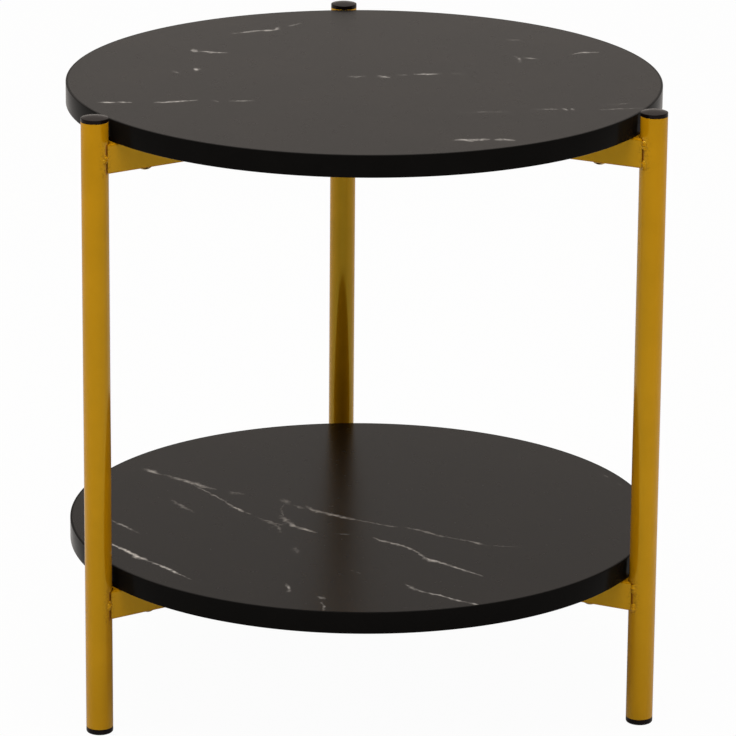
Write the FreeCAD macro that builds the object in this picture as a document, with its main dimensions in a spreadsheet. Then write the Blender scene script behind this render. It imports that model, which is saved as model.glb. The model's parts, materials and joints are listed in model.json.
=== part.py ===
import FreeCAD
import Part
import Sketcher
import math
import os

# Two-tier round side table. Two laminated boards lie on arms that are welded to three tubular legs.
# Each leg frame is a tube with an upper and a lower arm, closed by a plastic cap, a foot and two arm plugs.
# Bolts pass up through the arms into insert nuts in the boards.
# The frame is +Z up, floor at Z = 0, rear leg towards +Y, origin under the middle of the table's box.

# Driving dimensions in millimetres.
SIZES = {
    # Boards: core with a marble laminate above, a backing laminate below and a band round the edge.
    "board_diameter": 420,
    "core_thickness": 15,
    "laminate_thickness": 0.3,
    "edge_band_thickness": 1.5,
    "edge_band_round": 0.6,
    "glue_line": 0.05,
    "top_height": 445,
    "shelf_height": 122,
    # Legs: round tube that stands just outside the boards.
    "leg_diameter": 19,
    "leg_wall": 1.2,
    "leg_gap": 1.8,
    "leg_edge_round": 0.4,
    "leg_below_top": 0.4,
    # Caps and feet: plugs whose finned stems push into the tube ends.
    "cap_rim": 2.6,
    "cap_dome": 1.4,
    "cap_edge_round": 0.5,
    "foot_head": 4.2,
    "foot_round": 1.6,
    "stem_length": 15,
    "stem_clearance": 0.1,
    "fin_depth": 1.1,
    "fin_height": 1.6,
    "fin_pitch": 4.2,
    # Arms: rectangular tube, saddle cut against the leg.
    "arm_height": 21,
    "arm_width": 18,
    "arm_wall": 1.2,
    "arm_corner": 1.5,
    "arm_reach": 130,
    "weld_gap": 0.7,
    "weld_length": 7.4,
    "weld_radius": 2.8,
    "weld_proud": 1.5,
    "weld_below_board": 0.3,
    "weld_below_arm": 1.3,
    # Plugs in the inner ends of the arms.
    "plug_flange": 2,
    "plug_stem": 12,
    "plug_wall": 1.5,
    # Bolts: button heads below the arms, two to an arm.
    "bolt_diameter": 6,
    "bolt_head_diameter": 10.5,
    "bolt_head_height": 3.4,
    "bolt_head_rim": 0.9,
    "bolt_tip_chamfer": 0.8,
    "bolt_engagement": 10.5,
    "bolt_hole_clearance": 0.3,
    "bolt_from_leg": 39.8,
    "bolt_pitch": 60,
    "socket_width": 4,
    "socket_depth": 1.6,
    # Insert nuts: barbed bushes knocked into the underside of the boards.
    "insert_diameter": 9,
    "insert_length": 12,
    "insert_barb": 0.7,
    "insert_barb_pitch": 3,
    "insert_fit": 0.05,
}

# Lengths that follow from the driving dimensions.
BOARD_RADIUS = "(Sizes.board_diameter / 2)"
CORE_RADIUS = f"({BOARD_RADIUS} - Sizes.edge_band_thickness - Sizes.glue_line)"
BOARD_THICKNESS = "(Sizes.core_thickness + 2 * Sizes.laminate_thickness)"
LEG_RADIUS = "(Sizes.leg_diameter / 2)"
LEG_CIRCLE = f"({BOARD_RADIUS} + Sizes.leg_gap + {LEG_RADIUS})"
LEG_TOP = "(Sizes.top_height - Sizes.leg_below_top)"
BORE_RADIUS = f"({LEG_RADIUS} - Sizes.leg_wall)"
FIN_RADIUS = f"({BORE_RADIUS} - Sizes.stem_clearance)"
ARM_END = f"({LEG_CIRCLE} - Sizes.arm_reach)"
ARM_HALF = "(Sizes.arm_width / 2)"
WELD_SEAM = f"({LEG_CIRCLE} - sqrt(max({LEG_RADIUS}^2 - {ARM_HALF}^2; 0)))"
OUTER_BOLT = f"({LEG_CIRCLE} - Sizes.bolt_from_leg)"
INSERT_RADIUS = "(Sizes.insert_diameter / 2)"
INSERT_HOLE = f"({INSERT_RADIUS} + Sizes.insert_fit)"
BOLT_HOLE = "(Sizes.bolt_diameter / 2 + Sizes.bolt_hole_clearance)"

# The rear leg reaches further from the table's axis than the boards do, so the axis stands
# half of that surplus in front of the middle of the box.
AXIS_Y = "(-(Sizes.leg_gap + Sizes.leg_diameter) / 2)"

TIERS = {"upper": "Sizes.top_height", "lower": "Sizes.shelf_height"}
BOARDS = {"top": "Sizes.top_height", "shelf": "Sizes.shelf_height"}

# The legs in turn round the table's axis, counter-clockwise from above. Each piece of a leg is modelled
# in the rear place and turned from there.
LEGS = ("rear", "left", "right")

# One side of each arm has a bead at its upper edge and one at its lower edge, and the other side one halfway.
WELD_PLACES = (
    ("+", "(-Sizes.weld_below_board - Sizes.weld_length / 2)"),
    ("+", "(-Sizes.arm_height - Sizes.weld_below_arm + Sizes.weld_length / 2)"),
    ("-", "(-Sizes.arm_height / 2)"),
)
FIN_COUNT = 3
BARB_COUNT = 3

doc = FreeCAD.newDocument("side_table")
sheet = doc.addObject("Spreadsheet::Sheet", "Sizes")
nodes = []


def write_sizes():
    for row, (name, size) in enumerate(SIZES.items(), start=1):
        sheet.set(f"A{row}", name)
        sheet.set(f"B{row}", str(size))
        sheet.setAlias(f"B{row}", name)
    doc.recompute()


def value(expression):
    return float(sheet.evalExpression(expression))


# Sketch helpers. Every point of a sketch is tied to the sheet by expressions.


def new_body(label):
    body = doc.addObject("PartDesign::Body", label)
    body.Label = label
    body.AllowCompound = True
    nodes.append(body)
    return body


def origin_feature(body, role):
    return next(f for f in body.Origin.OriginFeatures if f.Role == role)


def new_sketch(body, name, plane, shift=None):
    """A sketch on one of the body's origin planes. shift moves its origin along its own axes."""
    sketch = body.newObject("Sketcher::SketchObject", name)
    sketch.AttachmentSupport = (origin_feature(body, plane), [""])
    sketch.MapMode = "FlatFace"
    for axis, expression in (shift or {}).items():
        sketch.setExpression(f"AttachmentOffset.Base.{axis}", expression)
    return sketch


def bind(sketch, constraint, expression):
    index = sketch.addConstraint(constraint)
    sketch.setExpression(f"Constraints[{index}]", expression)


def pin_point(sketch, geometry, position, x, y):
    """Holds a point of the sketch at expressions x and y; 0 puts it on the axis."""
    for axis, kind, expression in ((-2, "DistanceX", x), (-1, "DistanceY", y)):
        if expression == "0":
            sketch.addConstraint(Sketcher.Constraint("PointOnObject", geometry, position, axis))
        else:
            dimension = Sketcher.Constraint(kind, -1, 1, geometry, position, value(expression))
            bind(sketch, dimension, expression)


def add_circle(sketch, x, y, radius):
    centre = FreeCAD.Vector(value(x), value(y), 0)
    circle = Part.Circle(centre, FreeCAD.Vector(0, 0, 1), value(radius))
    index = sketch.addGeometry(circle)
    pin_point(sketch, index, 3, x, y)
    bind(sketch, Sketcher.Constraint("Radius", index, value(radius)), radius)


def dome_arc(start, end):
    """An arc between two points of a sketch, centred on its upright axis."""
    rise = end.y - start.y
    centre_y = start.y + (end.x**2 + rise**2 - start.x**2) / (2 * rise)
    centre = FreeCAD.Vector(0, centre_y, 0)
    circle = Part.Circle(centre, FreeCAD.Vector(0, 0, 1), (end - centre).Length)
    angles = sorted(math.atan2(point.y - centre_y, point.x) for point in (start, end))
    return Part.ArcOfCircle(circle, angles[0], angles[1])


def add_outline(sketch, points, dome=None):
    """A closed outline through points given as expressions. dome is the index of a side that is an arc."""
    places = [FreeCAD.Vector(value(x), value(y), 0) for x, y in points]
    count = len(points)
    sides = []
    for i, start in enumerate(places):
        end = places[(i + 1) % count]
        if i == dome:
            sides.append(sketch.addGeometry(dome_arc(start, end)))
        else:
            sides.append(sketch.addGeometry(Part.LineSegment(start, end)))
    ends = {}
    for i, side in enumerate(sides):
        curve = sketch.Geometry[side]
        at_start = curve.StartPoint.isEqual(places[i], 1e-6)
        ends[i] = (1, 2) if at_start else (2, 1)
    for i, side in enumerate(sides):
        after = (i + 1) % count
        sketch.addConstraint(
            Sketcher.Constraint("Coincident", side, ends[i][1], sides[after], ends[after][0])
        )
    for i, (x, y) in enumerate(points):
        pin_point(sketch, sides[i], ends[i][0], x, y)
    if dome is not None:
        sketch.addConstraint(Sketcher.Constraint("PointOnObject", sides[dome], 3, -2))


def add_rectangle(sketch, left, right, bottom, top):
    add_outline(sketch, [(left, bottom), (right, bottom), (right, top), (left, top)])


# Feature helpers.


def pad(body, sketch, length, reverse=False):
    feature = body.newObject("PartDesign::Pad", f"{body.Name}_{sketch.Name}_pad")
    feature.Profile = sketch
    feature.Reversed = reverse
    feature.setExpression("Length", length)
    return feature


def pocket(body, sketch, length, reverse=False):
    feature = body.newObject("PartDesign::Pocket", f"{body.Name}_{sketch.Name}_cut")
    feature.Profile = sketch
    feature.Reversed = reverse
    feature.setExpression("Length", length)
    return feature


def revolve(body, sketch):
    feature = body.newObject("PartDesign::Revolution", f"{body.Name}_{sketch.Name}_turned")
    feature.Profile = sketch
    feature.ReferenceAxis = (sketch, ["V_Axis"])
    feature.Angle = 360
    return feature


def around_table(body, features, pairs=False):
    """Repeats features at each leg, and with pairs also at the arm's second bolt."""
    whole = body.newObject("PartDesign::MultiTransform", f"{body.Name}_places")
    whole.Originals = features
    steps = []
    if pairs:
        line = body.newObject("PartDesign::LinearPattern", f"{body.Name}_pair")
        line.Direction = (origin_feature(body, "Y_Axis"), [""])
        line.Reversed = True
        line.Occurrences = 2
        line.setExpression("Length", "Sizes.bolt_pitch")
        steps.append(line)
    ring = body.newObject("PartDesign::PolarPattern", f"{body.Name}_ring")
    ring.Axis = (origin_feature(body, "Z_Axis"), [""])
    ring.Angle = 360
    ring.Occurrences = len(LEGS)
    steps.append(ring)
    whole.Transformations = steps
    body.Tip = whole
    return whole


def fillet(body, feature, radius, wanted):
    """Rounds the edges of a feature for which wanted(edge) is true."""
    doc.recompute()
    names = [f"Edge{i}" for i, e in enumerate(feature.Shape.Edges, start=1) if wanted(e)]
    rounded = body.newObject("PartDesign::Fillet", f"{body.Name}_round")
    rounded.Base = (feature, names)
    rounded.setExpression("Radius", radius)
    return rounded


def circle_edge(radius, height=None):
    """A test for round edges of that radius, at one height or at any."""

    def wanted(edge):
        if edge.Degenerated or not isinstance(edge.Curve, Part.Circle):
            return False
        same_radius = math.isclose(edge.Curve.Radius, value(radius))
        same_height = height is None or math.isclose(edge.Curve.Center.z, value(height), abs_tol=1e-6)
        return same_radius and same_height

    return wanted


def along_arm(edge):
    return math.isclose(abs(edge.tangentAt(edge.FirstParameter).y), 1)


def place(body, height, leg="rear"):
    """Turns a body about the table's axis to its leg and lifts it to a height."""
    angle = 360 / len(LEGS) * LEGS.index(leg)
    body.Placement.Rotation = FreeCAD.Rotation(FreeCAD.Vector(0, 0, 1), angle)
    body.setExpression("Placement.Base.y", AXIS_Y)
    body.setExpression("Placement.Base.z", height)


# Boards.


def bolt_holes(body, radius, depth):
    """Holes upward from the body's underside, one for each bolt."""
    sketch = new_sketch(body, f"{body.Name}_hole", "XY_Plane")
    add_circle(sketch, "0", OUTER_BOLT, radius)
    around_table(body, [pocket(body, sketch, depth, reverse=True)], pairs=True)


def board_disc(label, thickness):
    body = new_body(label)
    sketch = new_sketch(body, f"{label}_outline", "XY_Plane")
    add_circle(sketch, "0", "0", CORE_RADIUS)
    pad(body, sketch, thickness)
    return body


def board_edge_band(label):
    body = new_body(label)
    sketch = new_sketch(body, f"{label}_ring", "XY_Plane")
    add_circle(sketch, "0", "0", BOARD_RADIUS)
    add_circle(sketch, "0", "0", f"({BOARD_RADIUS} - Sizes.edge_band_thickness)")
    ring = pad(body, sketch, BOARD_THICKNESS)
    fillet(body, ring, "Sizes.edge_band_round", circle_edge(BOARD_RADIUS))
    return body


def make_board(name, height):
    underside = f"({height} - {BOARD_THICKNESS})"
    backing = board_disc(f"{name}_backing_laminate", "Sizes.laminate_thickness")
    bolt_holes(backing, INSERT_HOLE, "Sizes.laminate_thickness")
    place(backing, underside)
    core = board_disc(f"{name}_board_core", "Sizes.core_thickness")
    bolt_holes(core, INSERT_HOLE, "Sizes.insert_length")
    place(core, f"({underside} + Sizes.laminate_thickness)")
    marble = board_disc(f"{name}_marble_laminate", "Sizes.laminate_thickness")
    place(marble, f"({height} - Sizes.laminate_thickness)")
    band = board_edge_band(f"{name}_edge_band")
    place(band, underside)


# Leg frames.


def make_leg_tube(leg):
    body = new_body(f"{leg}_leg_tube")
    sketch = new_sketch(body, f"{leg}_leg_section", "XY_Plane")
    add_circle(sketch, "0", LEG_CIRCLE, LEG_RADIUS)
    add_circle(sketch, "0", LEG_CIRCLE, BORE_RADIUS)
    tube = pad(body, sketch, f"{LEG_TOP} - Sizes.foot_head")
    fillet(body, tube, "Sizes.leg_edge_round", circle_edge(LEG_RADIUS))
    place(body, "Sizes.foot_head", leg)


def stem_points(side):
    """Half outline of a finned stem, from the tube's end face (0) to the stem's tip. side is + or -."""
    core = f"({FIN_RADIUS} - Sizes.fin_depth)"
    points = [(core, "0")]
    for i in range(FIN_COUNT):
        near = f"({side}({i + 1} * Sizes.fin_pitch - Sizes.fin_height))"
        far = f"({side}({i + 1} * Sizes.fin_pitch))"
        points += [(core, near), (FIN_RADIUS, near), (core, far)]
    points += [(core, f"({side}Sizes.stem_length)"), ("0", f"({side}Sizes.stem_length)")]
    return points


def make_leg_cap(leg):
    """Domed cap on the leg's upper end."""
    body = new_body(f"{leg}_leg_cap")
    sketch = new_sketch(body, f"{leg}_cap_profile", "YZ_Plane", {"x": LEG_CIRCLE})
    head = [
        ("0", "(Sizes.cap_rim + Sizes.cap_dome)"),
        (LEG_RADIUS, "Sizes.cap_rim"),
        (LEG_RADIUS, "0"),
    ]
    add_outline(sketch, head + stem_points("-"), dome=0)
    turned = revolve(body, sketch)
    fillet(body, turned, "Sizes.cap_edge_round", circle_edge(LEG_RADIUS, "Sizes.cap_rim"))
    place(body, LEG_TOP, leg)


def make_foot(leg):
    """Foot with a rounded lower edge on the leg's lower end."""
    body = new_body(f"{leg}_foot")
    sketch = new_sketch(body, f"{leg}_foot_profile", "YZ_Plane", {"x": LEG_CIRCLE})
    head = [("0", "(-Sizes.foot_head)"), (LEG_RADIUS, "(-Sizes.foot_head)"), (LEG_RADIUS, "0")]
    add_outline(sketch, head + stem_points("+"))
    turned = revolve(body, sketch)
    fillet(body, turned, "Sizes.foot_round", circle_edge(LEG_RADIUS, "(-Sizes.foot_head)"))
    place(body, "Sizes.foot_head", leg)


def make_arm(leg, tier, height):
    """Rectangular tube from the leg towards the table's axis, with its upper face at Z = 0."""
    body = new_body(f"{leg}_{tier}_arm")
    shift = {"z": f"(-{LEG_CIRCLE})"}
    outside = new_sketch(body, f"{body.Name}_section", "XZ_Plane", shift)
    add_rectangle(outside, f"(-{ARM_HALF})", ARM_HALF, "(-Sizes.arm_height)", "0")
    bar = pad(body, outside, "Sizes.arm_reach")
    fillet(body, bar, "Sizes.arm_corner", along_arm)
    inside = new_sketch(body, f"{body.Name}_bore", "XZ_Plane", shift)
    half_bore = f"({ARM_HALF} - Sizes.arm_wall)"
    floor = "(-Sizes.arm_height + Sizes.arm_wall)"
    add_rectangle(inside, f"(-{half_bore})", half_bore, floor, "(-Sizes.arm_wall)")
    pocket(body, inside, "Sizes.arm_reach", reverse=True)
    saddle = new_sketch(body, f"{body.Name}_saddle", "XY_Plane")
    add_circle(saddle, "0", LEG_CIRCLE, f"({LEG_RADIUS} + Sizes.weld_gap)")
    pocket(body, saddle, "Sizes.arm_height")
    holes = new_sketch(body, f"{body.Name}_bolt_hole", "XY_Plane")
    add_circle(holes, "0", OUTER_BOLT, BOLT_HOLE)
    add_circle(holes, "0", f"({OUTER_BOLT} - Sizes.bolt_pitch)", BOLT_HOLE)
    pocket(body, holes, "Sizes.arm_height")
    place(body, f"({height} - {BOARD_THICKNESS})", leg)


def make_arm_plug(leg, tier, height):
    """Plug in the arm's inner end: a flange outside it and a hollow stem inside."""
    body = new_body(f"{leg}_{tier}_arm_plug")
    flange = new_sketch(body, f"{body.Name}_flange", "XZ_Plane", {"z": f"(-{ARM_END})"})
    add_rectangle(flange, f"(-{ARM_HALF})", ARM_HALF, "(-Sizes.arm_height)", "0")
    plate = pad(body, flange, "Sizes.plug_flange")
    fillet(body, plate, "Sizes.arm_corner", along_arm)
    inset = "(Sizes.arm_wall + Sizes.stem_clearance)"
    for name, margin, build in (
        ("stem", inset, pad),
        ("stem_hollow", f"({inset} + Sizes.plug_wall)", pocket),
    ):
        sketch = new_sketch(body, f"{body.Name}_{name}", "XZ_Plane", {"z": f"(-{ARM_END})"})
        side = f"({ARM_HALF} - {margin})"
        add_rectangle(sketch, f"(-{side})", side, f"(-Sizes.arm_height + {margin})", f"(-{margin})")
        build(body, sketch, "Sizes.plug_stem", reverse=build is pad)
    place(body, f"({height} - {BOARD_THICKNESS})", leg)


def make_welds(leg, tier, height):
    """Beads on the seams between an arm's sides and its leg, cut to the arm and the leg that they lie on."""
    body = new_body(f"{leg}_{tier}_arm_welds")
    for i, (side, middle) in enumerate(WELD_PLACES):
        bead = body.newObject("PartDesign::AdditiveEllipsoid", f"{body.Name}_bead_{i}")
        bead.AttachmentSupport = (origin_feature(body, "XY_Plane"), [""])
        bead.MapMode = "FlatFace"
        bead.setExpression("Radius1", "Sizes.weld_length / 2")
        bead.setExpression("Radius2", "Sizes.weld_radius")
        bead.setExpression("Radius3", "Sizes.weld_radius")
        across = f"({side}({ARM_HALF} + Sizes.weld_proud - Sizes.weld_radius))"
        for axis, expression in zip("xyz", (across, WELD_SEAM, middle)):
            bead.setExpression(f"AttachmentOffset.Base.{axis}", expression)
    tube = new_sketch(body, f"{body.Name}_leg", "XY_Plane", {"z": "Sizes.weld_length"})
    add_circle(tube, "0", LEG_CIRCLE, LEG_RADIUS)
    pocket(body, tube, "Sizes.arm_height + 3 * Sizes.weld_length")
    arm = new_sketch(body, f"{body.Name}_arm", "XY_Plane")
    add_rectangle(arm, f"(-{ARM_HALF})", ARM_HALF, ARM_END, LEG_CIRCLE)
    pocket(body, arm, "Sizes.arm_height")
    place(body, f"({height} - {BOARD_THICKNESS})", leg)


# Fasteners.


def make_bolts(label, height):
    """Button head bolts with a hex socket. Their heads bear on the arms from below."""
    body = new_body(label)
    profile = new_sketch(body, f"{label}_profile", "YZ_Plane", {"x": OUTER_BOLT})
    head, shank = "(Sizes.bolt_head_diameter / 2)", "(Sizes.bolt_diameter / 2)"
    length = "(Sizes.arm_height + Sizes.laminate_thickness + Sizes.bolt_engagement)"
    points = [
        ("0", "(-Sizes.bolt_head_height)"),
        (head, "(-Sizes.bolt_head_rim)"),
        (head, "0"),
        (shank, "0"),
        (shank, f"({length} - Sizes.bolt_tip_chamfer)"),
        (f"({shank} - Sizes.bolt_tip_chamfer)", length),
        ("0", length),
    ]
    add_outline(profile, points, dome=0)
    turned = revolve(body, profile)
    socket = new_sketch(body, f"{label}_socket", "XY_Plane", {"z": "(-Sizes.bolt_head_height)"})
    corner = "(Sizes.socket_width / sqrt(3))"
    hexagon = []
    for i in range(6):
        x = f"({corner} * {math.cos(math.radians(60 * i + 30)):.9f})"
        y = f"({OUTER_BOLT} + {corner} * {math.sin(math.radians(60 * i + 30)):.9f})"
        hexagon.append(("0" if i in (1, 4) else x, y))
    add_outline(socket, hexagon)
    around_table(body, [turned, pocket(body, socket, "Sizes.socket_depth", reverse=True)], pairs=True)
    place(body, f"({height} - {BOARD_THICKNESS} - Sizes.arm_height)")


def make_inserts(label, height):
    """Barbed insert nuts, flush with the underside of the core."""
    body = new_body(label)
    profile = new_sketch(body, f"{label}_profile", "YZ_Plane", {"x": OUTER_BOLT})
    thread = "(Sizes.bolt_diameter / 2 + Sizes.insert_fit)"
    root = f"({INSERT_RADIUS} - Sizes.insert_barb)"
    points = [(thread, "0"), (INSERT_RADIUS, "0")]
    for i in range(BARB_COUNT):
        foot, crest = f"({i + 0.5} * Sizes.insert_barb_pitch)", f"({i + 1} * Sizes.insert_barb_pitch)"
        points += [(root, foot), (INSERT_RADIUS, crest)]
    points += [(root, "Sizes.insert_length"), (thread, "Sizes.insert_length")]
    add_outline(profile, points)
    around_table(body, [revolve(body, profile)], pairs=True)
    place(body, f"({height} - {BOARD_THICKNESS} + Sizes.laminate_thickness)")


def make_table():
    write_sizes()
    for name, height in BOARDS.items():
        make_board(name, height)
        make_bolts(f"{name}_board_bolts", height)
        make_inserts(f"{name}_board_insert_nuts", height)
    for leg in LEGS:
        make_leg_tube(leg)
        make_leg_cap(leg)
        make_foot(leg)
        for tier, height in TIERS.items():
            make_arm(leg, tier, height)
            make_arm_plug(leg, tier, height)
            make_welds(leg, tier, height)
    doc.recompute()


def check_table():
    broken = [o.Label for o in doc.Objects if "Invalid" in o.State or "Error" in o.State]
    for node in nodes:
        if node.Shape.isNull() or not node.Shape.isValid() or not node.Shape.Solids:
            broken.append(node.Label)
    if broken:
        raise RuntimeError(f"these objects failed: {broken}")


def export_parts():
    os.makedirs("parts", exist_ok=True)
    for node in nodes:
        node.Shape.exportStep(f"parts/{node.Label}.step")
        print(f"{node.Label}: {len(node.Shape.Solids)} solids, {node.Shape.Volume:.1f} mm3")


make_table()
check_table()
export_parts()
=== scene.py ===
import json
import math

import bpy
from mathutils import Matrix, Vector


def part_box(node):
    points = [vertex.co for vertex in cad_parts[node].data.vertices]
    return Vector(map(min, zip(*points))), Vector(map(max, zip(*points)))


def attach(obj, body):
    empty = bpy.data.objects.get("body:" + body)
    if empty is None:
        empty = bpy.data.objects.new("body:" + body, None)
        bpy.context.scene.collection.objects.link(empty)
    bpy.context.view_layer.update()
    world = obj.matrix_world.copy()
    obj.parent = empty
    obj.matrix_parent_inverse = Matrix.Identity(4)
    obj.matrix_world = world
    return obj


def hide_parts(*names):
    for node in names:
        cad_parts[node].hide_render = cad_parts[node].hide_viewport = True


# Two-tier round side table. Most CAD nodes keep their shapes and get their finishes here. The weld beads and
# the bolts are made again with the detail that the solids leave out, and the tubes, edge bands and printed
# faces with rounder outlines.

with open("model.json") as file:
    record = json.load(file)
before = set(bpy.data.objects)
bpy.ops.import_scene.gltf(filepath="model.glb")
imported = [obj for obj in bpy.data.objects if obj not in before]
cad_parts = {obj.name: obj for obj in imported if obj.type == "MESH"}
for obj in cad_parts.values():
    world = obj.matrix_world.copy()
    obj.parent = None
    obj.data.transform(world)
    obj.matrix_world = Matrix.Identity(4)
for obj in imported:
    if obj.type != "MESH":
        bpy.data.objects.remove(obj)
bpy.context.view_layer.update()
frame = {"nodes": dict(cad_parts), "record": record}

MM = 0.001

# Degrees from the rear leg to each leg about the table's axis, and the board that each tier of arms carries.
LEGS = {"rear": 0, "left": 120, "right": 240}
BOARDS = {"upper": "top", "lower": "shelf"}


# Nodes of shaders and of geometry trees.


# Places of the colour sockets on a Mix node, where several sockets have one name.
MIX_FACTOR, MIX_FIRST, MIX_SECOND, MIX_RESULT = 0, 6, 7, 2


class Socket:
    """An output of a node. Operators between values add Math nodes to its tree, and node() adds any other."""

    def __init__(self, tree, output):
        self.tree = tree
        self.output = output

    def node(self, kind, settings=None, sockets=None, give=0):
        """Adds a node, sets it, fills its sockets and returns its output with that name or number."""
        made = self.tree.nodes.new(kind)
        for name, setting in (settings or {}).items():
            setattr(made, name, setting)
        for name, given in (sockets or {}).items():
            if isinstance(given, Socket):
                self.tree.links.new(given.output, made.inputs[name])
            else:
                made.inputs[name].default_value = given
        return Socket(self.tree, made.outputs[give])

    def math(self, operation, *values):
        return self.node("ShaderNodeMath", {"operation": operation}, dict(enumerate(values)))

    def vector(self, operation, *vectors, give=0, **sockets):
        filled = {**dict(enumerate(vectors)), **sockets}
        return self.node("ShaderNodeVectorMath", {"operation": operation}, filled, give)

    def __add__(self, other):
        return self.math("ADD", self, other)

    def __sub__(self, other):
        return self.math("SUBTRACT", self, other)

    def __rsub__(self, other):
        return self.math("SUBTRACT", other, self)

    def __mul__(self, other):
        return self.math("MULTIPLY", self, other)

    def __truediv__(self, other):
        return self.math("DIVIDE", self, other)

    def __rtruediv__(self, other):
        return self.math("DIVIDE", other, self)

    def __pow__(self, other):
        return self.math("POWER", self, other)

    def __abs__(self):
        return self.math("ABSOLUTE", self)

    __radd__ = __add__
    __rmul__ = __mul__

    def ramp(self, low, high, start=0.0, end=1.0):
        """start at the value low, end at the value high, with a soft step between them."""
        span = {"Value": self, "From Min": low, "From Max": high, "To Min": start, "To Max": end}
        return self.node("ShaderNodeMapRange", {"interpolation_type": "SMOOTHSTEP"}, span)

    def mix(self, colour, other):
        """colour where this value is 0, the other colour where it is 1."""
        colours = {MIX_FACTOR: self, MIX_FIRST: shade(colour), MIX_SECOND: shade(other)}
        return self.node("ShaderNodeMix", {"data_type": "RGBA"}, colours, MIX_RESULT)

    def noise(self, size, detail=2, give="Fac"):
        """Noise over these coordinates, with blotches about as wide as size."""
        blotches = {"Vector": self, "Scale": 1 / size, "Detail": detail}
        return self.node("ShaderNodeTexNoise", None, blotches, give)

    def stray(self, size, reach):
        """These coordinates pushed about by noise of that size, up to half of reach each way."""
        push = self.noise(size, give="Color")
        push = push.vector("SUBTRACT", push, (0.5, 0.5, 0.5))
        push = push.vector("SCALE", push, Scale=reach)
        return self.vector("ADD", self, push)


def shade(colour):
    """A colour with its alpha, or a socket as it is."""
    return colour if isinstance(colour, Socket) else (*colour, 1.0)


class Finish:
    """A material in the making: its shader and, as point, the Object coordinates in millimetres."""

    def __init__(self, name, **constants):
        self.material = bpy.data.materials.new(name)
        self.material.use_nodes = True
        self.tree = self.material.node_tree
        self.shader = self.tree.nodes["Principled BSDF"]
        for socket, value in constants.items():
            self.shader.inputs[socket.replace("_", " ")].default_value = value
        place = Socket(self.tree, self.tree.nodes.new("ShaderNodeTexCoord").outputs["Object"])
        self.point = place.vector("SCALE", place, Scale=1 / MM)

    def feed(self, name, socket):
        self.tree.links.new(socket.output, self.shader.inputs[name])

    def bump(self, height, depth):
        """Relief of that depth in millimetres from a height between 0 and 1."""
        relief = {"Strength": 1.0, "Distance": depth * MM, "Height": height}
        self.feed("Normal", height.node("ShaderNodeBump", None, relief, "Normal"))


# Places on the leg frames, taken from the CAD nodes.


def middle_of(node):
    low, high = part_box(node)
    return (low + high) / 2


def half_width(node):
    low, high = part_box(node)
    return (high.x - low.x) / 2


def heights(node):
    """The heights of a node's lowest and highest points."""
    low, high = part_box(node)
    return low.z, high.z


axis = middle_of("top_marble_laminate").xy
leg_circle = middle_of("rear_leg_tube").y - axis.y
leg_radius = half_width("rear_leg_tube")
arm_half = half_width("rear_upper_arm")
SEAM_GAP = 0.7 * MM


def side_meets(radius):
    """How far inward of a leg's middle an arm's side meets a circle of that radius about the leg."""
    return math.sqrt(radius**2 - arm_half**2)


def at_leg(leg, across, radius, height):
    """A point of a leg frame: across its arm, at a radius from the table's axis and at a height."""
    turned = Matrix.Rotation(math.radians(LEGS[leg]), 2) @ Vector((across, radius))
    return (axis.x + turned.x, axis.y + turned.y, height)


# Finishes. Their sizes are in millimetres, and depth is that of the relief.


# Veins of the marble print: the width of each, then the points of its line with their strength. A point is
# given from the middle of the board, with x to the right and y towards the rear leg.
TOP_VEINS = (
    (4.0, (-117, 92, 0.4), (-116, 87, 0.7), (-115, 83, 0.4)),
    (5.0, (-113, 85, 0.5), (-104, 82, 0.75), (-95, 79, 0.6)),
    (4.6, (-118, 35, 0.4), (-117, 31, 0.65), (-117, 27, 0.4)),
    (3.4, (-134, 27, 0.25), (-131, 21, 0.3)),
    (3.4, (-188, -61, 0.45), (-181, -61, 0.65), (-175, -61, 0.5)),
    (3.6, (-174, -60, 0.55), (-170, -61, 0.8), (-166, -61, 0.55)),
    (4.4, (-149, -63, 0.42), (-142, -62, 0.56), (-132, -60, 0.56), (-120, -57, 0.48)),
    (3.6, (-109, -58, 0.3), (-106, -61, 0.5)),
    (3.4, (-98, -60, 0.35), (-90, -60, 0.45), (-81, -60, 0.35)),
    (4.4, (-86, 139, 0.35), (-78, 142, 0.4), (-68, 146, 0.45), (-58, 147, 0.55), (-54, 150, 0.5),
     (-52, 157, 0.35)),
    (4.4, (-44, 160, 0.3), (-36, 168, 0.35)),
    (6.5, (-9, 6, 0.32), (0, 6, 0.3)),
    (7.0, (11, 7, 0.45), (17, 2, 0.5)),
    (3.4, (24, 9, 0.3), (33, 9, 0.3)),
    (4.6, (37, 11, 0.55), (46, 11, 0.65), (55, 11, 0.55)),
    (4.0, (63, 12, 0.2), (71, 10, 0.2)),
    (5.0, (112, 111, 0.25), (120, 111, 0.3)),
    (3.6, (112, 62, 0.3), (115, 55, 0.35), (115, 44, 0.3)),
    (4.0, (118, 56, 0.35), (128, 52, 0.4)),
    (4.4, (154, 65, 0.35), (162, 70, 0.55), (173, 71, 0.45)),
    (3.4, (57, -98, 0.2), (93, -98, 0.2)),
    (3.0, (109, -91, 0.3), (120, -92, 0.35), (130, -92, 0.35)),
    (3.2, (131, -90, 0.5), (133, -95, 0.6)),
    (3.0, (137, -90, 0.4), (138, -95, 0.5)),
    (3.4, (156, -95, 0.25), (170, -93, 0.3), (186, -92, 0.25)),
    (3.0, (159, -82, 0.2), (184, -76, 0.2)),
    (6.2, (51, -172, 0.6), (60, -172, 0.7), (71, -171, 0.62)),
    (5.8, (77, -172, 0.55), (89, -174, 0.5)),
)
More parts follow.
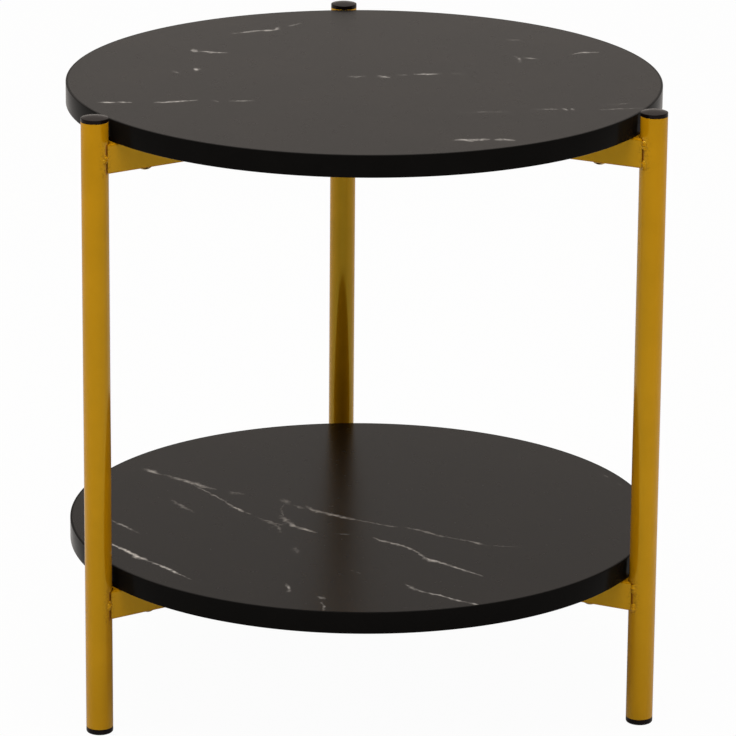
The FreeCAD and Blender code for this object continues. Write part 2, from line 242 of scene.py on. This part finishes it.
SHELF_VEINS = (
    (5.2, (-153, 107, 0.6), (-148, 100, 0.65), (-142, 92, 0.5)),
    (5.0, (-139, 91, 0.45), (-128, 81, 0.55), (-119, 73, 0.7), (-110, 63, 0.55), (-103, 57, 0.35)),
    (7.0, (-93, 51, 0.3), (-88, 48, 0.42), (-83, 45, 0.3)),
    (2.2, (-119, 70, 0.4), (-112, 57, 0.45), (-106, 46, 0.5), (-100, 35, 0.55), (-95, 24, 0.6)),
    (2.4, (-97, 28, 0.6), (-90, 14, 0.85), (-85, 7, 0.8), (-80, 0, 0.5)),
    (3.4, (-77, -6, 0.3), (-70, -14, 0.36), (-62, -21, 0.4), (-57, -26, 0.35)),
    (3.6, (-73, -13, 0.28), (-64, -22, 0.36), (-61, -30, 0.38), (-60, -40, 0.35)),
    (2.8, (-68, -30, 0.25), (-60, -24, 0.35), (-52, -19, 0.3)),
    (4.6, (-136, 35, 0.32), (-132, 26, 0.35), (-127, 16, 0.34), (-120, 6, 0.25)),
    (3.2, (-181, -7, 0.48), (-172, -21, 0.54), (-167, -29, 0.35), (-160, -38, 0.2)),
    (2.8, (-183, -58, 0.9), (-175, -69, 0.95), (-168, -80, 0.9), (-163, -89, 1.0), (-155, -99, 0.6)),
    (2.6, (-156, -97, 0.6), (-146, -110, 0.8), (-139, -121, 0.8), (-134, -128, 0.35), (-128, -137, 0.3)),
    (4.6, (-166, -86, 0.8), (-159, -94, 0.75)),
    (7.4, (-54, 34, 0.3), (-53, 27, 0.45), (-51, 21, 0.35)),
    (5.6, (-47, 19, 0.35), (-44, 15, 0.5), (-41, 12, 0.3)),
    (4.4, (-39, 17, 0.4), (-36, 9, 0.52), (-28, 1, 0.6), (-20, -5, 0.75), (-12, -11, 0.65), (-2, -17, 0.55)),
    (3.4, (-6, -15, 0.58), (8, -24, 0.42), (15, -29, 0.35), (22, -32, 0.45), (28, -33, 0.3)),
    (3.2, (30, -34, 0.4), (37, -39, 0.45), (45, -46, 0.55), (52, -53, 0.5), (62, -60, 0.35)),
    (3.2, (60, -59, 0.35), (72, -65, 0.45), (79, -71, 0.55), (84, -75, 0.4)),
    (4.8, (75, -67, 0.4), (81, -73, 0.45)),
    (3.0, (84, -75, 0.2), (94, -78, 0.25), (108, -80, 0.2)),
    (2.4, (-55, 22, 0.2), (-57, 12, 0.3), (-57, 0, 0.35), (-56, -8, 0.4)),
    (6.4, (-58, -4, 0.4), (-55, -14, 0.55), (-51, -24, 0.5)),
    (3.4, (-54, -18, 0.6), (-50, -27, 0.76), (-44, -33, 0.75), (-40, -37, 0.8), (-35, -42, 0.6)),
    (2.6, (-25, -44, 0.2), (-16, -47, 0.3), (-8, -48, 0.2)),
    (2.8, (6, -54, 0.6), (10, -62, 0.6), (19, -68, 0.7), (25, -74, 0.65), (31, -82, 0.7), (36, -92, 0.72)),
    (2.8, (34, -88, 0.7), (40, -103, 0.75), (46, -108, 0.75), (55, -117, 0.68), (61, -124, 0.72),
     (68, -132, 0.6)),
    (2.6, (63, -126, 0.6), (68, -132, 0.6), (76, -140, 0.4)),
    (4.8, (38, -101, 0.65), (45, -109, 0.7)),
    (2.8, (-16, -122, 0.2), (-8, -132, 0.2)),
    (2.8, (20, -153, 0.5), (25, -163, 0.6), (33, -172, 0.5), (43, -178, 0.55), (52, -187, 0.7),
     (62, -194, 0.5)),
    (3.2, (59, -192, 0.5), (64, -195, 0.65), (68, -198, 0.5)),
    (4.4, (22, -157, 0.45), (27, -167, 0.5)),
    (6.0, (-52, -72, 0.28), (-51, -86, 0.3)),
    (3.4, (-62, -149, 0.5), (-61, -157, 0.6), (-61, -166, 0.4)),
    (5.0, (-41, -176, 0.7), (-38, -180, 0.7)),
    (2.8, (-40, -188, 0.4), (-39, -195, 0.5), (-39, -203, 0.4)),
    (3.0, (184, 80, 0.2), (188, 70, 0.2)),
    (3.0, (193, 58, 0.2), (196, 50, 0.2)),
)

# Share of its strength at a vein's ends, and of its width where it fades out.
FAINT_END = 0.5
FAINT_WIDTH = 0.4

# Shares of its width at which a vein is gone and at which it is full, and the power that holds back its
# faint parts.
VEIN_EDGE = (1.1, 0.1)
VEIN_CONTRAST = 1.5


def tapered(path):
    """The points of a vein with fainter ends. A vein of two points gets one between them."""
    if len(path) == 2:
        path = (path[0], [sum(pair) / 2 for pair in zip(*path)], path[1])
    shares = (FAINT_END, *[1.0] * (len(path) - 2), FAINT_END)
    return [(x, y, strength * share) for (x, y, strength), share in zip(path, shares)]


def stroke(point, start, end, width, ragged):
    """A line between two points of a vein, thinner where it is fainter. ragged frays its edges."""
    (*start, start_strength), (*end, end_strength) = start, end
    start, end = Vector((*start, 0)), Vector((*end, 0))
    run = end - start
    away = point.vector("SUBTRACT", point, start)
    along = away.vector("DOT_PRODUCT", away, run / run.length_squared, give="Value")
    along = along.node("ShaderNodeClamp", None, {"Value": along})
    nearest = along.vector("SCALE", run, Scale=along)
    distance = nearest.vector("DISTANCE", away, nearest, give="Value")
    strength = start_strength + (end_strength - start_strength) * along
    breadth = width * (FAINT_WIDTH + (1 - FAINT_WIDTH) * strength)
    return (distance * ragged / breadth).ramp(*VEIN_EDGE) * strength


def marble_laminate(name, board, veins):
    """Black marble print under a satin melamine face."""
    black, brown_black = (0.0028, 0.0018, 0.0013), (0.0048, 0.0032, 0.0024)
    chalk = (0.78, 0.75, 0.71)
    low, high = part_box(f"{board}_marble_laminate")
    middle = (low + high) / 2
    finish = Finish(name, IOR=1.5, Specular_IOR_Level=0.10)
    place = finish.point.vector("SUBTRACT", finish.point, (middle.x / MM, middle.y / MM, high.z / MM))
    flat = place.vector("MULTIPLY", place, (1, 1, 0))
    crooked = flat.stray(size=14, reach=3.0).stray(size=4, reach=2.4)
    ragged = flat.noise(size=7, detail=3).ramp(0.3, 0.7, start=1.6, end=0.75)
    mask = None
    for width, *path in veins:
        points = tapered(path)
        for start, end in zip(points, points[1:]):
            line = stroke(crooked, start, end, width, ragged)
            mask = line if mask is None else mask.math("MAXIMUM", mask, line)
    broken = flat.noise(size=5, detail=4).ramp(0.36, 0.58, start=0.45)
    cloud = flat.noise(size=70, detail=4).ramp(0.35, 0.75)
    ground = cloud.mix(black, brown_black)
    finish.feed("Base Color", ((mask * broken) ** VEIN_CONTRAST).mix(ground, chalk))
    finish.feed("Roughness", 0.24 + 0.05 * flat.noise(size=9, detail=3))
    finish.bump(flat.noise(size=1.1), depth=0.0015)
    return finish.material


# Soft edges of the open seams between arms and legs, which hold bare steel and painted shade, and how far
# spatter and scorch reach from the seams.
SEAM_SIDE = (0.15, -0.1)
SEAM_NEAR = 0.2
SEAM_FAR = 0.4
SEAM_END = 0.5
SCORCH = (6.5, 1.5)
SCORCH_END = 4


def seams(point):
    """Masks of the seams between arms and legs: 1 in their open gaps, which get bare steel and painted shade,
    and 1 fading to 0 around them.
    """
    point = point.vector("SUBTRACT", point, (axis.x / MM, axis.y / MM, 0))
    x, y, height = (point.node("ShaderNodeSeparateXYZ", None, {"Vector": point}, give) for give in "XYZ")
    third = math.tau / len(LEGS)
    turn = x.math("ARCTAN2", x, y) * (1 / third)
    angle = (turn - turn.math("ROUND", turn)) * third
    radius = (x * x + y * y) ** 0.5
    side = abs(radius * angle.math("SINE", angle)) - arm_half / MM
    near = side_meets(leg_radius) / MM
    far = side_meets(leg_radius + SEAM_GAP) / MM
    inward = leg_circle / MM - radius * angle.math("COSINE", angle)
    # The open gap between arm and leg, which gets painted shade as well as bare steel.
    seam_gap_shade = side.ramp(*SEAM_SIDE) * inward.ramp(near - SEAM_NEAR, near + SEAM_NEAR)
    seam_gap_shade = seam_gap_shade * inward.ramp(far + SEAM_FAR, far)
    beside = inward - near
    around = ((side * side + beside * beside) ** 0.5).ramp(*SCORCH)
    seam_gap_shades, heats = [], []
    for tier in BOARDS:
        low, high = (edge / MM for edge in heights(f"rear_{tier}_arm"))
        seam_gap_shades.append(seam_gap_shade * height.ramp(low - SEAM_END, low) * height.ramp(high, high - SEAM_END))
        heats.append(around * height.ramp(low - SCORCH_END, low) * height.ramp(high + SCORCH_END, high))
    return seam_gap_shades[0] + seam_gap_shades[1], heats[0] + heats[1]


def gold_paint():
    """Glossy gold lacquer on steel tube, with a fine orange peel, and bare brown steel with painted shade in
    the open seams.
    """
    deep_gold, bright_gold = (0.615, 0.279, 0.0020), (0.680, 0.310, 0.0035)
    pale_speck = (0.71, 0.35, 0.02)
    scorched_gold = (0.34, 0.13, 0.002)
    # Bare steel darkened with painted shade, for the open seams.
    bare_steel_and_painted_shade = (0.35, 0.12, 0.006)
    finish = Finish("gold_paint", IOR=1.93, Specular_Tint=(1.0, 0.86, 0.10, 1.0))
    cloud = finish.point.noise(size=38, detail=3)
    speck = finish.point.noise(size=0.7, detail=1)
    tone = cloud.ramp(0.3, 0.7).mix(deep_gold, bright_gold)
    tone = speck.ramp(0.62, 0.78, end=0.25).mix(tone, pale_speck)
    seam_gap_shade, heat = seams(finish.point.stray(size=1.6, reach=0.7))
    spatter = heat * finish.point.noise(size=1.8, detail=3).ramp(0.46, 0.66, end=0.6)
    tone = spatter.mix(tone, scorched_gold)
    # The open seams are painted dark brown: bare steel and painted shade in the recess.
    finish.feed("Base Color", seam_gap_shade.mix(tone, bare_steel_and_painted_shade))
    finish.feed("Roughness", 0.08 + 0.04 * cloud)
    finish.bump(finish.point.noise(size=1.6), depth=0.012)
    return finish.material


def edge_band():
    """Black plastic edging with a fine pebble."""
    black, worn_black = (0.0050, 0.0047, 0.0044), (0.0072, 0.0068, 0.0064)
    finish = Finish("edge_band", IOR=1.5, Specular_IOR_Level=0.02)
    cloud = finish.point.noise(size=25, detail=3)
    finish.feed("Base Color", cloud.mix(black, worn_black))
    finish.feed("Roughness", 0.12 + 0.08 * finish.point.noise(size=3, detail=3))
    finish.bump(finish.point.noise(size=0.6), depth=0.006)
    return finish.material


def backing_laminate():
    """Plain dark backing with a fine tooth."""
    dark_grey, grey = (0.018, 0.016, 0.015), (0.026, 0.023, 0.021)
    finish = Finish("backing_laminate", IOR=1.5, Specular_IOR_Level=0.3)
    cloud = finish.point.noise(size=60, detail=4)
    finish.feed("Base Color", cloud.mix(dark_grey, grey))
    finish.feed("Roughness", 0.5 + 0.12 * finish.point.noise(size=2, detail=3))
    finish.bump(finish.point.noise(size=0.5), depth=0.01)
    return finish.material


def board_core():
    """Particle board: pale chips in a darker binder."""
    binder, pale_chip = (0.30, 0.20, 0.11), (0.62, 0.47, 0.30)
    finish = Finish("board_core", IOR=1.45, Specular_IOR_Level=0.25)
    cells = {"Vector": finish.point, "Scale": 0.6}
    chips = finish.point.node("ShaderNodeTexVoronoi", None, cells, "Color")
    tint = chips.vector("DOT_PRODUCT", chips, (0.4, 0.3, 0.3), give="Value")
    finish.feed("Base Color", tint.mix(binder, pale_chip))
    finish.feed("Roughness", 0.7 + 0.2 * tint)
    finish.bump(tint, depth=0.15)
    return finish.material


def black_plastic():
    """Moulded black plastic of the caps, feet and plugs."""
    black, brown_black = (0.0045, 0.0022, 0.0018), (0.0080, 0.0042, 0.0036)
    finish = Finish("black_plastic", IOR=1.5, Specular_IOR_Level=0.14)
    cloud = finish.point.noise(size=6, detail=3)
    finish.feed("Base Color", cloud.mix(black, brown_black))
    finish.feed("Roughness", 0.20 + 0.08 * cloud)
    finish.bump(finish.point.noise(size=0.5), depth=0.004)
    return finish.material


def gilt_bolt():
    """Yellow zinc on steel bolts."""
    dull_yellow, bright_yellow = (0.46, 0.28, 0.05), (0.60, 0.42, 0.12)
    finish = Finish("gilt_bolt", Metallic=1.0)
    cloud = finish.point.noise(size=3, detail=3)
    finish.feed("Base Color", cloud.ramp(0.3, 0.7).mix(dull_yellow, bright_yellow))
    finish.feed("Roughness", 0.25 + 0.15 * cloud)
    finish.bump(finish.point.noise(size=0.4), depth=0.006)
    return finish.material


def zinc_insert():
    """Grey cast zinc of the insert nuts."""
    dull_grey, bright_grey = (0.42, 0.41, 0.39), (0.60, 0.59, 0.57)
    finish = Finish("zinc_insert", Metallic=1.0)
    cloud = finish.point.noise(size=2, detail=3)
    finish.feed("Base Color", cloud.mix(dull_grey, bright_grey))
    finish.feed("Roughness", 0.4 + 0.2 * cloud)
    finish.bump(finish.point.noise(size=0.5), depth=0.02)
    return finish.material


FINISHES = {
    "gold_paint": gold_paint(),
    "edge_band": edge_band(),
    "backing_laminate": backing_laminate(),
    "board_core": board_core(),
    "black_plastic": black_plastic(),
    "gilt_bolt": gilt_bolt(),
    "zinc_insert": zinc_insert(),
}
MARBLE = {
    "top": marble_laminate("top_marble_laminate", "top", TOP_VEINS),
    "shelf": marble_laminate("shelf_marble_laminate", "shelf", SHELF_VEINS),
}


def finish_of(node, slot):
    """The finish of a slot. Each board's face has a print of its own."""
    return FINISHES.get(slot) or MARBLE[node.split("_")[0]]


def coat_cad_nodes():
    """Gives each CAD node its finish."""
    for subpart in frame["record"]["subparts"]:
        node, slot = subpart["node"], subpart["material_slot"]
        mesh = frame["nodes"][node].data
        mesh.materials.clear()
        mesh.materials.append(finish_of(node, slot))


coat_cad_nodes()


# Pieces in place of CAD nodes.


SHARP_ANGLE = math.radians(35)


def fit(piece, node):
    """Makes a piece stand for a CAD node."""
    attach(piece, "root")
    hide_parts(node)


def skin(rings, hollow=False):
    """A mesh over rings of equal count, given upward on its outside. A hollow one closes on its first ring,
    and any other has end faces."""
    count = len(rings[0])
    points = [point for ring in rings for point in ring]
    starts = range(0, len(points), count)
    faces = []
    for lower, upper in zip(starts, [*starts[1:], *starts[: 1 if hollow else 0]]):
        for i in range(count):
            after = (i + 1) % count
            faces.append((lower + i, lower + after, upper + after, upper + i))
    if not hollow:
        faces.append(tuple(reversed(range(count))))
        faces.append(tuple(range(len(points) - count, len(points))))
    mesh = bpy.data.meshes.new("skin")
    mesh.from_pydata(points, [], faces)
    mesh.shade_smooth()
    mesh.set_sharp_from_angle(angle=SHARP_ANGLE)
    return mesh


def turned_ring(radius, height, steps):
    angles = (math.tau * i / steps for i in range(steps))
    return [(radius * math.cos(a), radius * math.sin(a), height) for a in angles]


# Tubes, edge bands and printed faces.


LEG_WALL = 1.2 * MM
LEG_EDGE_ROUND = 0.4 * MM
LEG_STEPS = 96
BAND_THICKNESS = 1.5 * MM
BAND_ROUND = 0.6 * MM
BOARD_STEPS = 360
ROUND_STEPS = 5


def ring_section(outer, wall, low, high, edge):
    """Half section of a ring whose two outer edges are rounded, as pairs of radius and height."""
    turns = [math.pi / 2 * i / ROUND_STEPS for i in range(ROUND_STEPS + 1)]
    lower = [(outer - edge * (1 - math.sin(t)), low + edge * (1 - math.cos(t))) for t in turns]
    upper = [(radius, low + high - height) for radius, height in reversed(lower)]
    return [(outer - wall, low), *lower, *upper, (outer - wall, high)]


def add_turned(name, node, slot, section, steps, hollow=False):
    """A turned piece about the upright line through the middle of the node that it stands for."""
    mesh = skin([turned_ring(radius, height, steps) for radius, height in section], hollow)
    mesh.name = name
    middle = middle_of(node)
    mesh.transform(Matrix.Translation((middle.x, middle.y, 0)))
    mesh.materials.append(finish_of(node, slot))
    piece = bpy.data.objects.new(name, mesh)
    bpy.context.scene.collection.objects.link(piece)
    fit(piece, node)


def make_tubes():
    for leg in LEGS:
        node = f"{leg}_leg_tube"
        section = ring_section(leg_radius, LEG_WALL, *heights(node), LEG_EDGE_ROUND)
        add_turned(f"{leg}_leg_painted_tube", node, "gold_paint", section, LEG_STEPS, hollow=True)


def make_board_skins():
    for board in BOARDS.values():
        node = f"{board}_edge_band"
        section = ring_section(half_width(node), BAND_THICKNESS, *heights(node), BAND_ROUND)
        add_turned(f"{board}_rounded_edge_band", node, "edge_band", section, BOARD_STEPS, hollow=True)
        node = f"{board}_marble_laminate"
        section = [(half_width(node), height) for height in heights(node)]
        add_turned(f"{board}_printed_face", node, "marble_laminate", section, BOARD_STEPS)


# Geometry trees.


def new_tree(name, inputs):
    """A geometry tree and the sockets of its inputs, which are given as a type for each name."""
    tree = bpy.data.node_groups.new(name, "GeometryNodeTree")
    for label, kind in {"Geometry": "Geometry", **inputs}.items():
        tree.interface.new_socket(label, in_out="INPUT", socket_type=f"NodeSocket{kind}")
    tree.interface.new_socket("Geometry", in_out="OUTPUT", socket_type="NodeSocketGeometry")
    entry = tree.nodes.new("NodeGroupInput")
    return tree, {socket.name: Socket(tree, socket) for socket in entry.outputs if socket.name}


def end_tree(shape, finish):
    """Ends a geometry tree with smooth shading, real instances and a finish."""
    smooth = shape.node("GeometryNodeSetShadeSmooth", None, {"Geometry": shape})
    real = smooth.node("GeometryNodeRealizeInstances", None, {"Geometry": smooth})
    coated = real.node("GeometryNodeSetMaterial", None, {"Geometry": real, "Material": finish})
    leave = shape.tree.nodes.new("NodeGroupOutput")
    shape.tree.links.new(coated.output, leave.inputs["Geometry"])


def grow(name, seed, tree, inputs):
    """Runs a geometry tree on the seed mesh, with its inputs set by name, and returns a plain piece."""
    piece = bpy.data.objects.new(name, seed)
    bpy.context.scene.collection.objects.link(piece)
    modifier = piece.modifiers.new(name, "NODES")
    modifier.node_group = tree
    for item in tree.interface.items_tree:
        if item.name in inputs:
            modifier[item.identifier] = inputs[item.name]
    evaluated = piece.evaluated_get(bpy.context.evaluated_depsgraph_get())
    mesh = bpy.data.meshes.new_from_object(evaluated)
    piece.modifiers.remove(modifier)
    mesh.name = name
    piece.data = mesh
    return piece


# Weld beads.


BEAD_LENGTH = 7.4 * MM
BEAD_STEPS = 36
BEAD_SIDES = 16
BEAD_BLUNTNESS = 0.4
BEAD_MERGE = 0.01 * MM
BEAD = {
    "Bead Radius": 2.8 * MM,
    "Wander": 1.4 * MM,
    "Ripples": 4.0,
    "Ripple Depth": 0.16,
    "Lump Size": 2.6 * MM,
    "Lump Depth": 1.6 * MM,
    "Seed": 4.0,
}


def weld_bead_tree():
    """A crooked, rippled bead with blunt ends along each edge of the seed mesh."""
    tree, given = new_tree("weld_beads", {**{label: "Float" for label in BEAD}, "Finish": "Material"})
    edges, size = given["Geometry"], given["Lump Size"]
    line = edges.node("GeometryNodeMeshToCurve", None, {"Mesh": edges})
    line = line.node("GeometryNodeResampleCurve", {"mode": "COUNT"}, {"Curve": line, "Count": BEAD_STEPS})
    place = line.node("GeometryNodeInputPosition")
    place = place.vector("ADD", place, given["Seed"])
    crooked = place.stray(size, given["Wander"])
    crooked = crooked.vector("SUBTRACT", crooked, given["Seed"])
    line = line.node("GeometryNodeSetPosition", None, {"Geometry": line, "Position": crooked})
    along = line.node("GeometryNodeSplineParameter", give="Factor")
    swell = (4 * along * (1 - along)) ** BEAD_BLUNTNESS
    wave = along * given["Ripples"] * math.pi
    ripple = 1 - given["Ripple Depth"] * (1 - abs(wave.math("SINE", wave)))
    circle = {"Resolution": BEAD_SIDES, "Radius": 1.0}
    ring = line.node("GeometryNodeCurvePrimitiveCircle", {"mode": "RADIUS"}, circle)
    thickness = given["Bead Radius"] * swell * ripple
    sweep = {"Curve": line, "Profile Curve": ring, "Scale": thickness}
    bead = line.node("GeometryNodeCurveToMesh", None, sweep)
    bead = bead.node("GeometryNodeMergeByDistance", None, {"Geometry": bead, "Distance": BEAD_MERGE})
    outward = bead.node("GeometryNodeInputNormal")
    lump = (place.noise(size) - 0.5) * given["Lump Depth"]
    outward = outward.vector("SCALE", outward, Scale=lump)
    bead = bead.node("GeometryNodeSetPosition", None, {"Geometry": bead, "Offset": outward})
    end_tree(bead, given["Finish"])
    return tree


def seam_edges(leg, tier):
    """The stretches of seam that are welded: one side's upper and lower end, and the other side's middle."""
    low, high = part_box(f"rear_{tier}_arm_welds")
    arm_middle = middle_of(f"rear_{tier}_arm").z
    across = high.x - BEAD["Bead Radius"]
    radius = leg_circle - side_meets(leg_radius)
    stretches = (
        (across, high.z - BEAD_LENGTH),
        (across, low.z),
        (-across, arm_middle - BEAD_LENGTH / 2),
    )
    points = []
    for side, bottom in stretches:
        points += [at_leg(leg, side, radius, bottom), at_leg(leg, side, radius, bottom + BEAD_LENGTH)]
    mesh = bpy.data.meshes.new(f"{leg}_{tier}_seams")
    mesh.from_pydata(points, [(i, i + 1) for i in range(0, len(points), 2)], [])
    return mesh


def make_weld_beads():
    tree = weld_bead_tree()
    for leg in LEGS:
        for tier in BOARDS:
            name = f"{leg}_{tier}_arm_weld_beads"
            beads = grow(name, seam_edges(leg, tier), tree, {**BEAD, "Finish": FINISHES["gold_paint"]})
            fit(beads, f"{leg}_{tier}_arm_welds")


# Bolts.


BOLT_FROM_LEG = 39.8 * MM
BOLT_PITCH = 60 * MM
HEAD_RADIUS = 5.25 * MM
HEAD_HEIGHT = 3.4 * MM
HEAD_RIM = 0.9 * MM
SHANK_RADIUS = 3 * MM
TIP_CHAMFER = 0.8 * MM
SOCKET_APOTHEM = 2 * MM
SOCKET_LIP = 2.6 * MM
SOCKET_DEPTH = 1.6 * MM
SOCKET_BEVEL = 0.25 * MM
EDGE_BREAK = 0.12 * MM
DOME_STEPS = 8
BOLT_STEPS = 48


def hexagon_ring(apothem, height):
    """A ring of as many points as the bolt's turned ones, on a hexagon."""
    points = []
    for i in range(BOLT_STEPS):
        angle = math.tau * i / BOLT_STEPS
        reach = apothem / math.cos(angle % (math.pi / 3) - math.pi / 6)
        points.append((reach * math.cos(angle), reach * math.sin(angle), height))
    return points


def bolt_rings(length):
    """Rings of a button head bolt from the floor of its socket up to its tip, with the head below 0."""
    crown = HEAD_HEIGHT - HEAD_RIM
    sphere = (HEAD_RADIUS**2 + crown**2) / (2 * crown)

    def dome(radius):
        return sphere - HEAD_HEIGHT - math.sqrt(sphere**2 - radius**2)

    radii = [SOCKET_LIP + (HEAD_RADIUS - SOCKET_LIP) * i / DOME_STEPS for i in range(DOME_STEPS + 1)]
    section = [
        *((radius, dome(radius)) for radius in radii),
        (HEAD_RADIUS, -EDGE_BREAK),
        (HEAD_RADIUS - EDGE_BREAK, 0),
        (SHANK_RADIUS, 0),
        (SHANK_RADIUS, length - TIP_CHAMFER),
        (SHANK_RADIUS - TIP_CHAMFER, length),
    ]
    return [
        hexagon_ring(SOCKET_APOTHEM, SOCKET_DEPTH - HEAD_HEIGHT),
        hexagon_ring(SOCKET_APOTHEM, dome(SOCKET_LIP) + SOCKET_BEVEL),
        hexagon_ring(SOCKET_APOTHEM + SOCKET_BEVEL, dome(SOCKET_LIP)),
        *(turned_ring(radius, height, BOLT_STEPS) for radius, height in section),
    ]


def bolt_tree():
    """The given bolt on each point of the seed mesh, turned at random about its own axis."""
    tree, given = new_tree("board_bolts", {"Bolt": "Object", "Seed": "Int", "Finish": "Material"})
    places = given["Geometry"]
    source = {"Object": given["Bolt"], "As Instance": True}
    bolt = places.node("GeometryNodeObjectInfo", None, source, "Geometry")
    spread = {"Min": (0, 0, 0), "Max": (0, 0, math.pi / 3), "Seed": given["Seed"]}
    turn = places.node("FunctionNodeRandomValue", {"data_type": "FLOAT_VECTOR"}, spread)
    bolts = {"Points": places, "Instance": bolt, "Rotation": turn}
    end_tree(places.node("GeometryNodeInstanceOnPoints", None, bolts), given["Finish"])
    return tree


def make_bolts():
    tree = bolt_tree()
    outer = leg_circle - BOLT_FROM_LEG
    circles = (outer, outer - BOLT_PITCH)
    for seed, (tier, board) in enumerate(BOARDS.items()):
        node = f"{board}_board_bolts"
        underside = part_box(f"rear_{tier}_arm")[0].z
        bolt = bpy.data.objects.new("bolt", skin(bolt_rings(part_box(node)[1].z - underside)))
        bpy.context.scene.collection.objects.link(bolt)
        places = bpy.data.meshes.new(f"{board}_bolt_places")
        places.from_pydata([at_leg(leg, 0, circle, underside) for leg in LEGS for circle in circles], [], [])
        inputs = {"Bolt": bolt, "Seed": seed, "Finish": FINISHES["gilt_bolt"]}
        bolts = grow(f"{board}_button_head_bolts", places, tree, inputs)
        bpy.data.objects.remove(bolt)
        fit(bolts, node)


make_tubes()
make_board_skins()
make_weld_beads()
make_bolts()


# Stage: pale floor, soft light from above and the photograph's camera.


WHITE = (1, 1, 1)

# The floor, and the share of plain white in it for the camera and for reflections.
FLOOR_HALF = 20.0
FLOOR_GREY = (0.55, 0.55, 0.55)
SEEN_WHITE = 0.97
MIRRORED_WHITE = 0.10

# The room's light. A pair gives where a light starts and where it is full, going up or back, from -1 to 1.
ROOM_TINT = (1.0, 0.92, 0.85)
ROOM_LEVEL = 0.5
ROOM_BACK = (-0.6, 0.5)
ROOM_FRONT_SHARE = 0.14
OVERHEAD_UP = (0.35, 1.0)
SWEEP_UP = (0.16, 0.06)
SWEEP_BACK = (0.3, 0.85)

SOFTBOX_PLACE = (-0.15, -0.5, 2.5)
SOFTBOX_AIM = (0, 0, 0.25)
SOFTBOX_SIZE = 2.4
SOFTBOX_POWER = 40.0

# The camera, fitted to the outlines of the boards and legs: metres, degrees, and millimetres for the lens.
CAMERA_PLACE = (-0.2425, -3.4243, 1.3010)
CAMERA_TURN = -4.134
CAMERA_DIP = 17.353
CAMERA_ROLL = 0.462
CAMERA_LENS = 244.76
CAMERA_SENSOR = 36.0
CAMERA_CLIP = (0.1, 60.0)


def make_floor():
    """A floor that takes shadows and looks nearly white to the camera."""
    half = FLOOR_HALF
    corners = [(-half, -half, 0), (half, -half, 0), (half, half, 0), (-half, half, 0)]
    mesh = bpy.data.meshes.new("floor")
    mesh.from_pydata(corners, [], [(0, 1, 2, 3)])
    floor = bpy.data.objects.new("floor", mesh)
    bpy.context.scene.collection.objects.link(floor)
    material = bpy.data.materials.new("pale_floor")
    material.use_nodes = True
    tree = material.node_tree
    tree.nodes.clear()
    path = tree.nodes.new("ShaderNodeLightPath")
    camera, glossy, through = (
        Socket(tree, path.outputs[ray]) for ray in ("Is Camera Ray", "Is Glossy Ray", "Is Transmission Ray")
    )
    glow = SEEN_WHITE * camera + MIRRORED_WHITE * glossy.math("MAXIMUM", glossy, through)
    matt = glow.node("ShaderNodeBsdfDiffuse", None, {"Color": shade(FLOOR_GREY)}, "BSDF")
    white = glow.node("ShaderNodeEmission", None, {"Color": shade(WHITE), "Strength": 1.0}, "Emission")
    surface = glow.node("ShaderNodeMixShader", None, {0: glow, 1: matt, 2: white}, "Shader")
    output = tree.nodes.new("ShaderNodeOutputMaterial")
    tree.links.new(surface.output, output.inputs["Surface"])
    mesh.materials.append(material)


def light_studio():
    """A warm room, brighter overhead, with a bright sweep low behind the table, and a wide lamp above it."""
    world = bpy.data.worlds.new("studio")
    bpy.context.scene.world = world
    world.use_nodes = True
    tree = world.node_tree
    direction = Socket(tree, tree.nodes.new("ShaderNodeTexCoord").outputs["Generated"])
    up = direction.node("ShaderNodeSeparateXYZ", None, {"Vector": direction}, "Z")
    back = direction.node("ShaderNodeSeparateXYZ", None, {"Vector": direction}, "Y")
    sweep = up.ramp(*SWEEP_UP) * back.ramp(*SWEEP_BACK)
    room = ROOM_LEVEL * back.ramp(*ROOM_BACK, start=ROOM_FRONT_SHARE)
    level = up.ramp(*OVERHEAD_UP) + room.math("MAXIMUM", room, sweep)
    camera = Socket(tree, tree.nodes.new("ShaderNodeLightPath").outputs["Is Camera Ray"])
    level = level.math("MAXIMUM", level, camera)
    background = tree.nodes["Background"]
    tree.links.new(camera.mix(ROOM_TINT, WHITE).output, background.inputs["Color"])
    tree.links.new(level.output, background.inputs["Strength"])
    lamp = bpy.data.lights.new("overhead_softbox", "AREA")
    lamp.shape = "DISK"
    lamp.size = SOFTBOX_SIZE
    lamp.energy = SOFTBOX_POWER
    softbox = bpy.data.objects.new("overhead_softbox", lamp)
    softbox.location = SOFTBOX_PLACE
    aim = Vector(SOFTBOX_AIM) - softbox.location
    softbox.rotation_euler = aim.to_track_quat("-Z", "Y").to_euler()
    bpy.context.scene.collection.objects.link(softbox)


def set_camera():
    data = bpy.data.cameras.new("camera")
    data.sensor_width = CAMERA_SENSOR
    data.lens = CAMERA_LENS
    data.clip_start, data.clip_end = CAMERA_CLIP
    camera = bpy.data.objects.new("camera", data)
    turn = Matrix.Rotation(math.radians(CAMERA_TURN), 4, "Z")
    tilt = Matrix.Rotation(math.radians(90 - CAMERA_DIP), 4, "X")
    roll = Matrix.Rotation(math.radians(CAMERA_ROLL), 4, "Z")
    camera.matrix_world = Matrix.Translation(CAMERA_PLACE) @ turn @ tilt @ roll
    bpy.context.scene.collection.objects.link(camera)
    bpy.context.scene.camera = camera


make_floor()
light_studio()
set_camera()
bpy.context.scene.view_settings.view_transform = "Standard"
